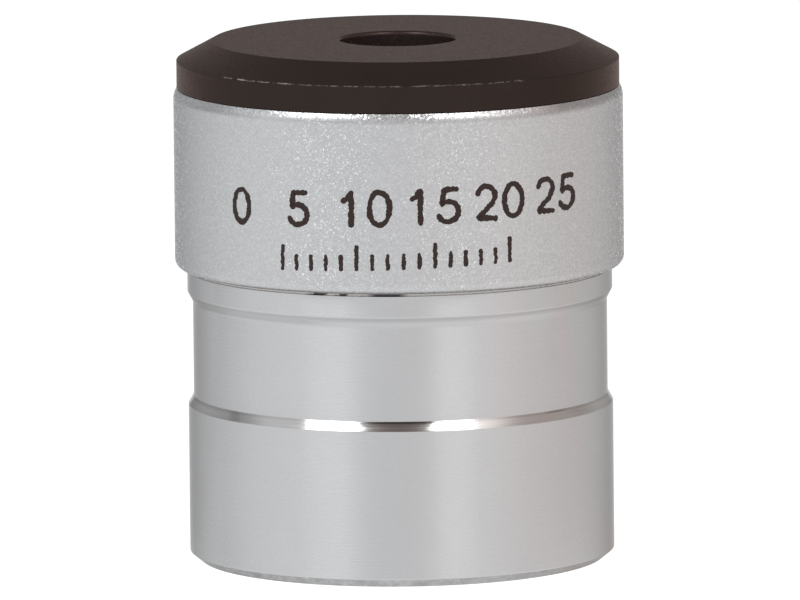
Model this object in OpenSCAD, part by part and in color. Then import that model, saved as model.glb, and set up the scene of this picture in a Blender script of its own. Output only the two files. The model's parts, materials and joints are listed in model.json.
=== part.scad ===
// Telescope eyepiece, 10 mm symmetrical doublet pair in a 1.25 inch barrel.
// Millimetres. +Z runs up the optical axis towards the eye, and the origin is the
// centre of the barrel's bottom rim. All pieces are drawn where they sit when both
// threads are screwed home.

/* [Housing] */
// Outer diameter of the satin housing
housing_d = 33.5; // [33.4:0.1:36]
// Height of the housing
housing_h = 13.45; // [13.4:0.05:15]
// Width of the bevel on the housing's top outer edge
housing_edge_w = 0.25; // [0.1:0.05:0.35]
// Height of the bevel on the housing's top outer edge
housing_edge_h = 0.5; // [0.2:0.05:0.8]
// Round of the housing's bottom outer edge
housing_bottom_round = 0.65; // [0.2:0.05:0.65]
// Diameter of the housing's threaded bore for the eye cap
cap_thread_d = 30.0; // [29.6:0.1:30.4]
// Diameter of the housing's threaded bore for the barrel
barrel_thread_d = 29.2; // [28.9:0.1:29.6]
// Diameter of the plain bore between the two threads
housing_waist_d = 27.0; // [22:0.5:27]
// Length of each housing thread
housing_thread_l = 4.8; // [4.7:0.1:5]

/* [Eye cap] */
// Outer diameter of the eye cap
cap_d = 33.0; // [32:0.1:33.4]
// Height of the cap's straight rim
cap_rim_h = 2.05; // [1.6:0.05:2.5]
// Height of the cap's bevel
cap_bevel_h = 1.45; // [1.2:0.05:1.8]
// Diameter of the cap's flat face
cap_face_d = 27.6; // [24:0.1:29]
// Diameter of the eye hole
eye_hole_d = 8.6; // [8:0.1:9]
// Length of the threaded skirt that screws into the housing
cap_skirt_l = 4.5; // [4:0.1:4.6]
// Diameter of the hollow inside the skirt
cap_skirt_inner_d = 27.0; // [26:0.1:27.4]

/* [Barrel] */
// Outer diameter of the 1.25 inch barrel
barrel_d = 31.7; // [31.5:0.01:31.75]
// Height from the barrel's bottom rim to the housing
barrel_h = 22.0; // [21.6:0.1:25]
// Outer diameter of the safety undercut
undercut_d = 30.9; // [30.4:0.1:31]
// Height of the lower guide ring's top edge
guide_ring_top = 11.7; // [11:0.05:12]
// Height of the step from the guide ring into the undercut
guide_step_h = 0.7; // [0.4:0.1:0.9]
// Height at which the undercut ends
undercut_top = 19.45; // [19:0.05:19.6]
// Height of the flare from the undercut to the collar
flare_h = 0.75; // [0.5:0.05:0.9]
// Depth of the bevel around the bottom rim, measured along the radius
rim_bevel_w = 0.8; // [0.4:0.1:0.9]
// Height of the bevel around the bottom rim
rim_bevel_h = 0.65; // [0.4:0.05:0.8]
// Height of the witness groove between barrel and housing
groove_h = 0.2; // [0.1:0.05:0.3]
// Depth of the witness groove
groove_depth = 0.1; // [0.1:0.05:0.5]
// Main bore of the barrel
barrel_bore_d = 26.0; // [25.6:0.1:26]

/* [Filter thread] */
// Diameter of the tapped bore for M28.5 x 0.6 filters
filter_bore_d = 27.9; // [27.8:0.05:28]
// Depth of the tapped bore
filter_bore_l = 4.4; // [4:0.1:5]
// Entry bevel of the tapped bore
filter_entry = 0.35; // [0.2:0.05:0.4]

/* [Optics] */
// Diameter of all four lenses
lens_d = 10.5; // [10.2:0.1:10.6]
// Depth of the eye lens below the cap's face
eye_lens_depth = 2.2; // [2:0.1:2.5]
// Radius of the cemented surfaces
cement_r = 11.8; // [11:0.1:13]
// Radius of the two surfaces that face each other
inner_r = 8.8; // [8.5:0.05:9.5]
// Thickness of a flint at its centre
flint_ct = 1.0; // [0.9:0.1:1.2]
// Thickness of a crown at its edge
crown_edge = 0.8; // [0.7:0.1:0.9]
// Gap between the two doublets on the axis
doublet_gap = 0.5; // [0.4:0.1:0.6]
// Diameter of the field stop's opening
field_stop_d = 8.8; // [8:0.1:9.3]

/* [Hidden] */
$fn = 160;
eps = 1;                     // how far a cutting tool runs past the face that it cuts
thread_play = 0.06;          // radial clearance of each screwed joint
thread_relief = 0.25;        // how far a relief groove is deeper than its thread
cement_t = 0.02;             // layer of optical cement, and the play between stacked pieces
round_steps = 6;             // straight steps in each rounded edge

// heights
housing_bottom_z = barrel_h;
housing_top_z = housing_bottom_z + housing_h;
cap_edge_z = housing_top_z + cap_rim_h;
cap_face_z = cap_edge_z + cap_bevel_h;

// eye cap
cap_skirt_bottom_z = housing_top_z - cap_skirt_l;
cap_roof_t = 2.3;            // thickness of the cap's roof over the hollow skirt
cap_ceiling_t = 1.7;         // thickness of the cap around the eye hole
cap_ceiling_z = cap_face_z - cap_ceiling_t;
cap_boss_d = 19.2;           // outer diameter of the boss that holds the lens cell
cell_head_l = 3.2;           // length of the cell's threaded head
cell_head_d = 16.0;
cap_boss_bottom_z = cap_ceiling_z - cell_head_l;
eye_hole_bevel = 0.15;

// lens stack: the lower doublet is the upper one mirrored about mid_z
lens_r = lens_d / 2;
function sag(r, h) = r - sqrt(r * r - h * h);
crown_ct = sag(cement_r, lens_r) + crown_edge + sag(inner_r, lens_r);
eye_flat_z = cap_face_z - eye_lens_depth;
eye_crown_top_z = eye_flat_z - flint_ct - cement_t;
eye_crown_bottom_z = eye_crown_top_z - crown_ct;
mid_z = eye_crown_bottom_z - doublet_gap / 2;
field_flat_z = 2 * mid_z - eye_flat_z;

// lens cell
lens_play = 0.06;            // how much wider the cell's bore is than the lenses
cell_bore_d = lens_d + lens_play;
cell_d = 14.0;
cell_lip_d = 9.4;            // clear opening of the lip that the eye lens rests on
retainer_h = 1.0;
retainer_d = 11.8;
retainer_hole_d = 9.0;
retainer_top_z = field_flat_z - cement_t;
retainer_bottom_z = retainer_top_z - retainer_h;
retainer_recess = 0.25;      // how far the retaining ring sits inside the cell's end
cell_bottom_z = retainer_bottom_z - retainer_recess;
slot_w = 1.2;                // spanner slots
slot_depth = 0.5;

// spacer between the doublets
spacer_wall = 0.5;
spacer_inner_r = lens_r - spacer_wall;
spacer_top_z = eye_crown_bottom_z + sag(inner_r, spacer_inner_r) - cement_t;
spacer_h = 2 * (spacer_top_z - mid_z);

// barrel
collar_bottom_z = undercut_top + flare_h;
collar_top_z = barrel_h - groove_h;
seat_r = barrel_d / 2 - groove_depth;
neck_l = 4.5;                // length of the barrel's male thread
neck_top_z = barrel_h + neck_l;
neck_d = barrel_thread_d - 2 * thread_play;

// field stop
stop_edge_z = 20.0;          // focal plane of the lens stack
stop_t = 1.2;
stop_d = 26.4;
stop_top_z = stop_edge_z + stop_t;
stop_land = 0.15;            // height of the opening's straight edge
stop_bevel_r = 8.0;          // outer radius of the bevel around the opening
stop_seat_t = 0.9;           // thickness of the ledge that the field stop rests on
stop_seat_d = 24.4;
stop_play = 0.1;             // how much wider the barrel's bore is than the field stop
stop_bore_d = stop_d + stop_play;

// snap ring above the field stop
snap_wire_d = 0.8;
snap_z = stop_top_z + snap_wire_d / 2 + cement_t;
snap_groove_depth = 0.25;
snap_groove_d = stop_bore_d + 2 * snap_groove_depth;
snap_r = snap_groove_d / 2 - snap_wire_d / 2 - cement_t;
snap_open_angle = 24;        // part of the circle that the split ring leaves open

// points of a quarter circle about (x, y), running clockwise from the angle start
function rounded(x, y, r, start) =
    [for (i = [0 : round_steps]) let (a = start - 90 * i / round_steps) [x + r * cos(a), y + r * sin(a)]];

// a ring with a rectangular section
module ring(outer_r, inner_r, z0, z1) {
    rotate_extrude() translate([inner_r, z0]) square([outer_r - inner_r, z1 - z0]);
}

module eye_cap() {
    outer_r = cap_d / 2;
    skirt_r = cap_thread_d / 2 - thread_play;
    hole_r = eye_hole_d / 2;
    edge_break = 0.12;
    color([0.2, 0.17, 0.16])
    rotate_extrude() polygon([
        [skirt_r, housing_top_z],
        [outer_r - edge_break, housing_top_z],
        [outer_r, housing_top_z + edge_break],
        [outer_r, cap_edge_z],
        [cap_face_d / 2, cap_face_z],
        [hole_r + eye_hole_bevel, cap_face_z],
        [hole_r, cap_face_z - eye_hole_bevel],
        [hole_r, cap_ceiling_z],
        [cell_head_d / 2 + thread_play, cap_ceiling_z],
        [cell_head_d / 2 + thread_play, cap_boss_bottom_z],
        [cap_boss_d / 2, cap_boss_bottom_z],
        [cap_boss_d / 2, cap_face_z - cap_roof_t],
        [cap_skirt_inner_d / 2, cap_face_z - cap_roof_t],
        [cap_skirt_inner_d / 2, cap_skirt_bottom_z],
        [skirt_r, cap_skirt_bottom_z]
    ]);
}

module housing() {
    outer_r = housing_d / 2;
    cap_bore_r = cap_thread_d / 2;
    barrel_bore_r = barrel_thread_d / 2;
    waist_r = housing_waist_d / 2;
    color([0.78, 0.78, 0.8])
    rotate_extrude() polygon(concat(
        [
            [cap_bore_r, housing_top_z],
            [outer_r - housing_edge_w, housing_top_z],
            [outer_r, housing_top_z - housing_edge_h]
        ],
        rounded(outer_r - housing_bottom_round, housing_bottom_z + housing_bottom_round,
                housing_bottom_round, 0),
        [
            [barrel_bore_r, housing_bottom_z],
            [barrel_bore_r, housing_bottom_z + housing_thread_l],
            [waist_r, housing_bottom_z + housing_thread_l],
            [waist_r, housing_top_z - housing_thread_l],
            [cap_bore_r, housing_top_z - housing_thread_l]
        ]
    ));
}

module barrel() {
    outer_r = barrel_d / 2;
    undercut_r = undercut_d / 2;
    filter_r = filter_bore_d / 2;
    bore_r = barrel_bore_d / 2;
    relief_l = 0.6;
    neck_r = neck_d / 2;
    color([0.82, 0.82, 0.83])
    rotate_extrude() polygon([
        [filter_r + filter_entry, 0],
        [outer_r - rim_bevel_w, 0],
        [outer_r, rim_bevel_h],
        [outer_r, guide_ring_top],
        [undercut_r, guide_ring_top + guide_step_h],
        [undercut_r, undercut_top],
        [outer_r, collar_bottom_z],
        [outer_r, collar_top_z],
        [seat_r, collar_top_z],
        [seat_r, barrel_h],
        [neck_r, barrel_h],
        [neck_r, neck_top_z],
        [stop_bore_d / 2, neck_top_z],
        [stop_bore_d / 2, snap_z + snap_wire_d / 2],
        [snap_groove_d / 2, snap_z + snap_wire_d / 2],
        [snap_groove_d / 2, snap_z - snap_wire_d / 2],
        [stop_bore_d / 2, snap_z - snap_wire_d / 2],
        [stop_bore_d / 2, stop_edge_z],
        [stop_seat_d / 2, stop_edge_z],
        [stop_seat_d / 2, stop_edge_z - stop_seat_t],
        [bore_r, stop_edge_z - stop_seat_t],
        [bore_r, filter_bore_l + relief_l],
        [filter_r + thread_relief, filter_bore_l + relief_l],
        [filter_r + thread_relief, filter_bore_l],
        [filter_r, filter_bore_l],
        [filter_r, filter_entry]
    ]);
}

// one slot straight across the lower end of a round piece, for a spanner
module spanner_slot(outer_d, bottom_z) {
    translate([0, 0, bottom_z]) cube([outer_d + eps, slot_w, 2 * slot_depth], center = true);
}

module lens_cell() {
    color([0.12, 0.12, 0.12])
    difference() {
        rotate_extrude() polygon([
            [cell_lip_d / 2, cap_ceiling_z],
            [cell_head_d / 2, cap_ceiling_z],
            [cell_head_d / 2, cap_boss_bottom_z],
            [cell_d / 2, cap_boss_bottom_z],
            [cell_d / 2, cell_bottom_z],
            [retainer_d / 2 + thread_play, cell_bottom_z],
            [retainer_d / 2 + thread_play, retainer_top_z + thread_relief],
            [cell_bore_d / 2, retainer_top_z + thread_relief],
            [cell_bore_d / 2, eye_flat_z + cement_t],
            [cell_lip_d / 2, eye_flat_z + cement_t]
        ]);
        spanner_slot(cell_d, cell_bottom_z);
    }
}

module eye_lens_flint() {
    color([0.85, 0.95, 0.9, 0.4])
    difference() {
        translate([0, 0, eye_crown_top_z - sag(cement_r, lens_r)])
            cylinder(r = lens_r, h = eye_flat_z - eye_crown_top_z + sag(cement_r, lens_r));
        translate([0, 0, eye_crown_top_z + cement_t - cement_r]) sphere(cement_r);
    }
}

module eye_lens_crown() {
    color([0.85, 0.9, 0.95, 0.4])
    intersection() {
        translate([0, 0, eye_crown_bottom_z]) cylinder(r = lens_r, h = crown_ct);
        translate([0, 0, eye_crown_top_z - cement_r]) sphere(cement_r);
        translate([0, 0, eye_crown_bottom_z + inner_r]) sphere(inner_r);
    }
}

// the lower doublet is the upper one turned over
module turned_over() {
    translate([0, 0, 2 * mid_z]) mirror([0, 0, 1]) children();
}

module lens_spacer() {
    color([0.12, 0.12, 0.12])
    ring(lens_r, spacer_inner_r, mid_z - spacer_h / 2, mid_z + spacer_h / 2);
}

module field_lens_crown() {
    turned_over() eye_lens_crown();
}

module field_lens_flint() {
    turned_over() eye_lens_flint();
}

module lens_retaining_ring() {
    color([0.12, 0.12, 0.12])
    difference() {
        ring(retainer_d / 2, retainer_hole_d / 2, retainer_bottom_z, retainer_top_z);
        spanner_slot(retainer_d, retainer_bottom_z);
    }
}

module field_stop() {
    opening_r = field_stop_d / 2;
    web_t = 0.5;
    color([0.12, 0.12, 0.12])
    rotate_extrude() polygon([
        [opening_r, stop_edge_z],
        [stop_d / 2, stop_edge_z],
        [stop_d / 2, stop_top_z],
        [stop_d / 2 - stop_t, stop_top_z],
        [stop_d / 2 - stop_t, stop_edge_z + web_t],
        [stop_bevel_r, stop_edge_z + web_t],
        [opening_r, stop_edge_z + stop_land]
    ]);
}

module field_stop_snap_ring() {
    color([0.3, 0.3, 0.32])
    rotate([0, 0, 90 + snap_open_angle / 2])
    rotate_extrude(angle = 360 - snap_open_angle)
    translate([snap_r, snap_z]) circle(snap_wire_d / 2);
}

eye_cap();
housing();
barrel();
lens_cell();
eye_lens_flint();
eye_lens_crown();
lens_spacer();
field_lens_crown();
field_lens_flint();
lens_retaining_ring();
field_stop();
field_stop_snap_ring();
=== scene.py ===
"""Looks of the telescope eyepiece. Millimetres in the outlines, metres in Blender."""

import json
import math
import random

import bmesh
import bpy
from mathutils import Matrix, Vector

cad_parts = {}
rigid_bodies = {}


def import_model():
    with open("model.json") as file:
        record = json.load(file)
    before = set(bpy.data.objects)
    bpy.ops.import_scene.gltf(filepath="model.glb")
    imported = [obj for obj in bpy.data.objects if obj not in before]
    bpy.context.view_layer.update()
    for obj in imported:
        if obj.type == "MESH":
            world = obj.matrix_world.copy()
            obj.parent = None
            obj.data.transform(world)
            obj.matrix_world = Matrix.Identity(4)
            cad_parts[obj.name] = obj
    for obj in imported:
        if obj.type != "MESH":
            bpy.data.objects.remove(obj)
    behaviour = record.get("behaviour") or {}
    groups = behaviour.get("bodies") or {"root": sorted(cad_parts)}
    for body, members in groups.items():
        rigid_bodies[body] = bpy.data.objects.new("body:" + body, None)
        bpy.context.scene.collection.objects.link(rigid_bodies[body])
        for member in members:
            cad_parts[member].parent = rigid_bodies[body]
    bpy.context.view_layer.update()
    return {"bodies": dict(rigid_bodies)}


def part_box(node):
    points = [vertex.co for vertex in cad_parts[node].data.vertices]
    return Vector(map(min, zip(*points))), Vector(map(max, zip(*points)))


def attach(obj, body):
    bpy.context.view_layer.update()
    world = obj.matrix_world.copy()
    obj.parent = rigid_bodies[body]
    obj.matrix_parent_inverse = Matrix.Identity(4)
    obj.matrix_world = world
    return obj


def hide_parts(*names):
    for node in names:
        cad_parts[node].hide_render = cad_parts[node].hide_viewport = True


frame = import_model()

MM = 0.001
COLUMNS = 256                # faces around each turned piece
FILLET_STEP = math.radians(17)
SUPPORT = 0.035              # flat strip beside each fillet, so that long faces shade flat
WELD = 2e-7
SHARP = math.radians(27)
SATIN_TINT = (0.45, 0.445, 0.44, 1)     # how much of the metals' shine is left at a grazing angle
CHROME_TINT = (0.49, 0.485, 0.48, 1)
CAP_TINT = (0.91, 0.8, 0.77, 1)
THREAD_FORM = ((0.0, 1.0), (0.14, 1.0), (0.44, -1.0), (0.70, -1.0))   # (share of the pitch, height)
FINE_GRAIN = 5200.0          # noise scale of blasted, etched and anodised surfaces, per metre
THREAD_PITCH = 0.75
THREAD_DEPTH = 0.2
FILTER_PITCH = 0.6


# ---------------------------------------------------------------- heights and radii from the CAD
def low(node):
    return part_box(node)[0] / MM


def high(node):
    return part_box(node)[1] / MM


housing_r = high("housing").x
housing_bottom = low("housing").z
housing_top = high("housing").z
cap_r = high("eye_cap").x
cap_skirt_bottom = low("eye_cap").z
cap_top = high("eye_cap").z
barrel_r = high("barrel").x
neck_top = high("barrel").z
cell_bottom = low("lens_cell").z
cell_top = high("lens_cell").z
eye_flat = high("eye_lens_flint").z
field_flat = low("field_lens_flint").z
mid_z = (eye_flat + field_flat) / 2
lens_r = high("eye_lens_flint").x
stop_edge = low("field_stop").z
stop_top = high("field_stop").z
stop_r = high("field_stop").x

# heights of the edges between, above the barrel's rim
rim_top = housing_top + 2.05         # where the cap's rim turns into its bevel
edge_bottom = housing_top - 0.5      # lower end of the housing's top bevel
step_low = 11.7                      # guide ring's top edge
step_high = 12.4                     # undercut's lower end
undercut_top = 19.45
collar_bottom = 20.2


# ---------------------------------------------------------------- turned pieces
def thread(pitch=THREAD_PITCH, depth=THREAD_DEPTH):
    """Goes between two outline points of the same radius: that stretch carries a screw thread."""
    return {"pitch": pitch, "depth": depth}


def rounded_corner(before, here, after, radius):
    """Points of the arc that replaces the corner at here, with a short flat strip at each end."""
    to_a, to_b = (before - here).normalized(), (after - here).normalized()
    inside = to_a.angle(to_b)
    cut = radius / math.tan(inside / 2)
    centre = here + (to_a + to_b).normalized() * (radius / math.sin(inside / 2))
    first, last = here + to_a * cut - centre, here + to_b * cut - centre
    turn = math.pi - inside
    steps = max(2 if radius < 1 else 6, math.ceil(turn / FILLET_STEP))
    points = []
    for i in range(steps + 1):
        t = i / steps
        a = math.sin((1 - t) * turn) / math.sin(turn)
        b = math.sin(t * turn) / math.sin(turn)
        points.append(centre + first * a + last * b)
    if (before - points[0]).length > 3 * SUPPORT:
        points.insert(0, points[0] + to_a * SUPPORT)
    if (after - points[-1]).length > 3 * SUPPORT:
        points.append(points[-1] + to_b * SUPPORT)
    return points


def outline_strips(outline):
    """Turns corners (r, z) or (r, z, fillet) into the strips (p, q, thread or None) between them."""
    corners, threads = [], {}
    for item in outline:
        if isinstance(item, dict):
            threads[len(corners) - 1] = item
        else:
            corners.append(item)
    count = len(corners)
    vectors = [Vector(c[:2]) for c in corners]
    runs = []
    for i, corner in enumerate(corners):
        if len(corner) > 2:
            runs.append(rounded_corner(vectors[i - 1], vectors[i], vectors[(i + 1) % count], corner[2]))
        else:
            runs.append([vectors[i]])
    strips = []
    for i, run in enumerate(runs):
        strips += [(p, q, None) for p, q in zip(run, run[1:])]
        strips.append((run[-1], runs[(i + 1) % count][0], threads.get(i)))
    return strips


def thread_rows(p, q, form):
    """Rows of (r, z) per column. They follow the helix, so that crests and roots stay crisp."""
    z0, z1 = min(p.y, q.y), max(p.y, q.y)
    pitch, depth = form["pitch"], form["depth"]
    rows = []
    for turn in range(math.floor(z0 / pitch) - 1, math.ceil(z1 / pitch) + 1):
        for share, height in THREAD_FORM:
            row = []
            for j in range(COLUMNS + 1):
                z = (turn + share + j / COLUMNS) * pitch
                z = min(z1, max(z0, z))
                fade = min(1.0, (z - z0) / (0.5 * pitch), (z1 - z) / (0.5 * pitch))
                row.append((p.x + depth * height * fade, z))
            rows.append(row)
    return rows


def turned_mesh(name, outline, pick=None):
    """Turns a closed outline about Z. pick(r, z) gives a strip's material index from its middle."""
    verts, faces, kinds = [], [], []
    cosines = [math.cos(2 * math.pi * j / COLUMNS) for j in range(COLUMNS)]
    sines = [math.sin(2 * math.pi * j / COLUMNS) for j in range(COLUMNS)]
    for p, q, form in outline_strips(outline):
        if form:
            rows = thread_rows(p, q, form)
        else:
            rows = [[tuple(p)] * (COLUMNS + 1), [tuple(q)] * (COLUMNS + 1)]
        base = len(verts)
        for row in rows:
            for j, (r, z) in enumerate(row):
                k = j % COLUMNS
                verts.append((r * cosines[k] * MM, r * sines[k] * MM, z * MM))
        kind = pick((p.x + q.x) / 2, (p.y + q.y) / 2) if pick else 0
        wide = COLUMNS + 1
        for i in range(len(rows) - 1):
            for j in range(COLUMNS):
                a = base + i * wide + j
                faces.append((a, a + 1, a + wide + 1, a + wide))
                kinds.append(kind)
    mesh = bpy.data.meshes.new(name)
    mesh.from_pydata(verts, [], faces)
    for polygon, kind in zip(mesh.polygons, kinds):
        polygon.material_index = kind
    bm = bmesh.new()
    bm.from_mesh(mesh)
    bmesh.ops.remove_doubles(bm, verts=bm.verts, dist=WELD)
    bmesh.ops.dissolve_degenerate(bm, edges=bm.edges, dist=WELD)
    bmesh.ops.recalc_face_normals(bm, faces=bm.faces)
    bm.to_mesh(mesh)
    bm.free()
    return mesh


def smooth(mesh, angle=SHARP):
    mesh.shade_smooth()
    mesh.set_sharp_from_angle(angle=angle)


def place(name, mesh, materials, body, node):
    """Adds a piece that rides on a body and stands for a CAD node, if it has one."""
    obj = bpy.data.objects.new(name, mesh)
    bpy.context.scene.collection.objects.link(obj)
    for m in materials:
        mesh.materials.append(m)
    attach(obj, body)
    if node:
        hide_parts(node)
    return obj


def cut_slot(mesh, width, bottom, depth, reach):
    """Cuts a straight spanner slot along X across the lower end of a turned mesh."""
    box = bmesh.new()
    bmesh.ops.create_cube(box, size=1.0)
    size = Vector((reach, width, 2 * depth)) * MM
    bmesh.ops.scale(box, vec=size, verts=box.verts)
    bmesh.ops.translate(box, vec=(0, 0, bottom * MM), verts=box.verts)
    cutter_mesh = bpy.data.meshes.new("cutter")
    box.to_mesh(cutter_mesh)
    box.free()
    cutter = bpy.data.objects.new("cutter", cutter_mesh)
    target = bpy.data.objects.new("target", mesh)
    for o in (cutter, target):
        bpy.context.scene.collection.objects.link(o)
    cut = target.modifiers.new("cut", "BOOLEAN")
    cut.operation, cut.solver, cut.object = "DIFFERENCE", "EXACT", cutter
    depsgraph = bpy.context.evaluated_depsgraph_get()
    result = bpy.data.meshes.new_from_object(target.evaluated_get(depsgraph))
    for o in (cutter, target):
        bpy.data.objects.remove(o)
    return result


# ---------------------------------------------------------------- material helpers
class Nodes:
    """Short calls for building one node material."""

    def __init__(self, name):
        self.material = bpy.data.materials.new(name)
        self.material.use_nodes = True
        self.tree = self.material.node_tree
        self.bsdf = self.tree.nodes["Principled BSDF"]
        self.coords = self.tree.nodes.new("ShaderNodeTexCoord").outputs["Object"]

    def link(self, value, socket):
        if isinstance(value, bpy.types.NodeSocket):
            self.tree.links.new(value, socket)
        elif value is not None:
            socket.default_value = value

    def set(self, **values):
        for key, value in values.items():
            self.link(value, self.bsdf.inputs[key.replace("_", " ")])

    def math(self, operation, a, b=None):
        node = self.tree.nodes.new("ShaderNodeMath")
        node.operation = operation
        self.link(a, node.inputs[0])
        self.link(b, node.inputs[1])
        return node.outputs[0]

    def vector(self, operation, a, b=None, scale=None):
        node = self.tree.nodes.new("ShaderNodeVectorMath")
        node.operation = operation
        self.link(a, node.inputs[0])
        self.link(b, node.inputs[1])
        if scale is not None:
            self.link(scale, node.inputs["Scale"])
        return node.outputs["Value" if operation == "LENGTH" else "Vector"]

    def split(self, vector):
        node = self.tree.nodes.new("ShaderNodeSeparateXYZ")
        self.link(vector, node.inputs[0])
        return node.outputs

    def join(self, x, y, z):
        node = self.tree.nodes.new("ShaderNodeCombineXYZ")
        for value, socket in zip((x, y, z), node.inputs):
            self.link(value, socket)
        return node.outputs[0]

    def noise(self, scale, detail=2.0, rough=0.5, vector=None):
        node = self.tree.nodes.new("ShaderNodeTexNoise")
        self.link(self.coords if vector is None else vector, node.inputs["Vector"])
        self.link(scale, node.inputs["Scale"])
        self.link(detail, node.inputs["Detail"])
        self.link(rough, node.inputs["Roughness"])
        return node.outputs[0]

    def cells(self, scale):
        """A random colour in each small cell."""
        node = self.tree.nodes.new("ShaderNodeTexVoronoi")
        self.link(self.coords, node.inputs["Vector"])
        self.link(scale, node.inputs["Scale"])
        return node.outputs["Color"]

    def remap(self, value, a, b, c=0.0, d=1.0):
        """Takes a to c and b to d, and holds the value outside that range."""
        node = self.tree.nodes.new("ShaderNodeMapRange")
        for v, socket in zip((value, a, b, c, d), node.inputs):
            self.link(v, socket)
        return node.outputs[0]

    def mix(self, factor, a, b):
        node = self.tree.nodes.new("ShaderNodeMix")
        node.data_type = "RGBA"
        self.link(factor, node.inputs[0])
        self.link(a, node.inputs[6])
        self.link(b, node.inputs[7])
        return node.outputs[2]

    def bump(self, height, distance, strength=1.0, normal=None):
        node = self.tree.nodes.new("ShaderNodeBump")
        self.link(height, node.inputs["Height"])
        self.link(distance, node.inputs["Distance"])
        self.link(strength, node.inputs["Strength"])
        self.link(normal, node.inputs["Normal"])
        return node.outputs[0]

    def normal(self):
        return self.tree.nodes.new("ShaderNodeNewGeometry").outputs["Normal"]

    def angle_and_height(self):
        """Angle about the axis, in radians, and height in mm of the shaded point."""
        x, y, z = self.split(self.coords)
        return self.math("ARCTAN2", y, x), self.math("MULTIPLY", z, 1 / MM)

    def radius(self):
        """Distance of the shaded point from the axis, in mm."""
        flat = self.vector("MULTIPLY", self.coords, (1.0, 1.0, 0.0))
        return self.math("MULTIPLY", self.vector("LENGTH", flat), 1 / MM)

    def patch(self, angle, degrees, core, soft):
        """1 within core degrees of an azimuth and 0 beyond soft degrees. Azimuth 0 is the front."""
        turned = self.math("SUBTRACT", angle, math.radians(degrees - 90))
        away = self.math("ARCCOSINE", self.math("COSINE", turned))
        return self.remap(away, math.radians(core), math.radians(soft), 1.0, 0.0)

    def turning_lines(self, per_mm, along, detail=3.0):
        """Noise with per_mm lines in each mm of height, drawn out around the axis like tool marks."""
        stretched = self.vector("MULTIPLY", self.coords, (along / MM, along / MM, per_mm / MM))
        return self.noise(1.0, detail, 0.6, vector=stretched)


# ---------------------------------------------------------------- materials
def satin_housing():
    """Blasted and plated: fine grains of slightly different tone and tilt, some of which glint."""
    m = Nodes("satin_pearl_chrome")
    angle, height = m.angle_and_height()
    burnished = m.remap(height, edge_bottom - 0.1, edge_bottom + 0.2)
    tone, lift, chance = m.split(m.cells(9800.0))
    scatter = m.vector("SUBTRACT", m.cells(9000.0), (0.5, 0.5, 0.5))
    wander = m.math("ADD", m.math("MULTIPLY", burnished, 0.115), 0.085)
    tilt = m.vector("SCALE", scatter, scale=wander)
    tilted = m.vector("NORMALIZE", m.vector("ADD", m.normal(), tilt))
    grain = m.noise(FINE_GRAIN, 3.0, 0.65)
    rough = m.remap(grain, 0.3, 0.7, 0.3, 0.4)
    glint = m.math("GREATER_THAN", chance, 0.78)
    upward = m.join(0.0, 0.0, m.remap(lift, 0.0, 1.0, 0.15, 0.8))
    glint_tilt = m.vector("ADD", upward, m.vector("SCALE", scatter, scale=0.32))
    glint_normal = m.vector("NORMALIZE", m.vector("ADD", m.normal(), glint_tilt))
    base = m.mix(m.math("POWER", tone, 3.0), (0.434, 0.434, 0.44, 1), (0.522, 0.522, 0.529, 1))
    # painted shade under the cap's rim on the right: there the top bevel is left without its burnished
    # brightening
    outside_cap_shade = m.math("SUBTRACT", 1.0, m.patch(angle, 68.0, 22.0, 30.0))
    bright = m.math("MULTIPLY", burnished, m.math("MULTIPLY", outside_cap_shade, 0.75))
    m.set(
        Base_Color=m.mix(bright, base, (0.68, 0.68, 0.69, 1)),
        Metallic=1.0,
        Roughness=m.math("MULTIPLY", rough, m.remap(burnished, 0.0, 1.0, 1.0, 0.85)),
        Specular_Tint=SATIN_TINT,
        Normal=m.bump(grain, 1.2e-6, 1.0, tilted),
        Coat_Weight=glint,
        Coat_Roughness=0.08,
        Coat_IOR=1.6,
        Coat_Normal=glint_normal,
    )
    return m.material


def turned_chrome():
    """Plated over fine turning lines, with painted shade darkening the flare below the collar."""
    m = Nodes("turned_chrome")
    angle, height = m.angle_and_height()
    lines = m.turning_lines(30.0, 0.12)
    haze = m.noise(220.0, 3.0)
    speck = m.noise(FINE_GRAIN, 2.0)
    tangent = m.tree.nodes.new("ShaderNodeTangent")
    tangent.direction_type, tangent.axis = "RADIAL", "Z"
    base = m.mix(haze, (0.485, 0.485, 0.489, 1), (0.515, 0.516, 0.523, 1))
    base = m.mix(m.remap(speck, 0.35, 0.65, 0.0, 0.06), base, (0.3, 0.3, 0.3, 1))
    # painted shade on the flare, standing in for the shaded floor it reflects: a band under the collar,
    # a wide patch on the left and a thin line at the undercut's top
    edge = m.remap(height, collar_bottom - 0.12, collar_bottom, 1.0, 0.0)
    rise = m.remap(height, collar_bottom - 0.5, collar_bottom - 0.2, 0.0, 0.46)
    upper = m.math("MULTIPLY", edge, rise)
    slope = m.math("MULTIPLY", edge, m.remap(height, undercut_top - 0.03, undercut_top + 0.08))
    wide = m.math("MULTIPLY", slope, m.math("MULTIPLY", m.patch(angle, -65.0, 38.0, 48.0), 0.34))
    away = m.math("ABSOLUTE", m.math("SUBTRACT", height, undercut_top))
    flare_painted_shade = m.math("MAXIMUM", m.math("MAXIMUM", upper, wide), m.remap(away, 0.03, 0.12, 0.14, 0.0))
    base = m.mix(flare_painted_shade, base, (0.27, 0.265, 0.26, 1))
    m.set(
        Base_Color=base,
        Metallic=1.0,
        Roughness=m.remap(lines, 0.3, 0.7, 0.265, 0.29),
        Specular_Tint=CHROME_TINT,
        Anisotropic=1.0,
        Anisotropic_Rotation=0.25,
        Tangent=tangent.outputs[0],
        Normal=m.bump(lines, 0.9e-7),
    )
    return m.material


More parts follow.
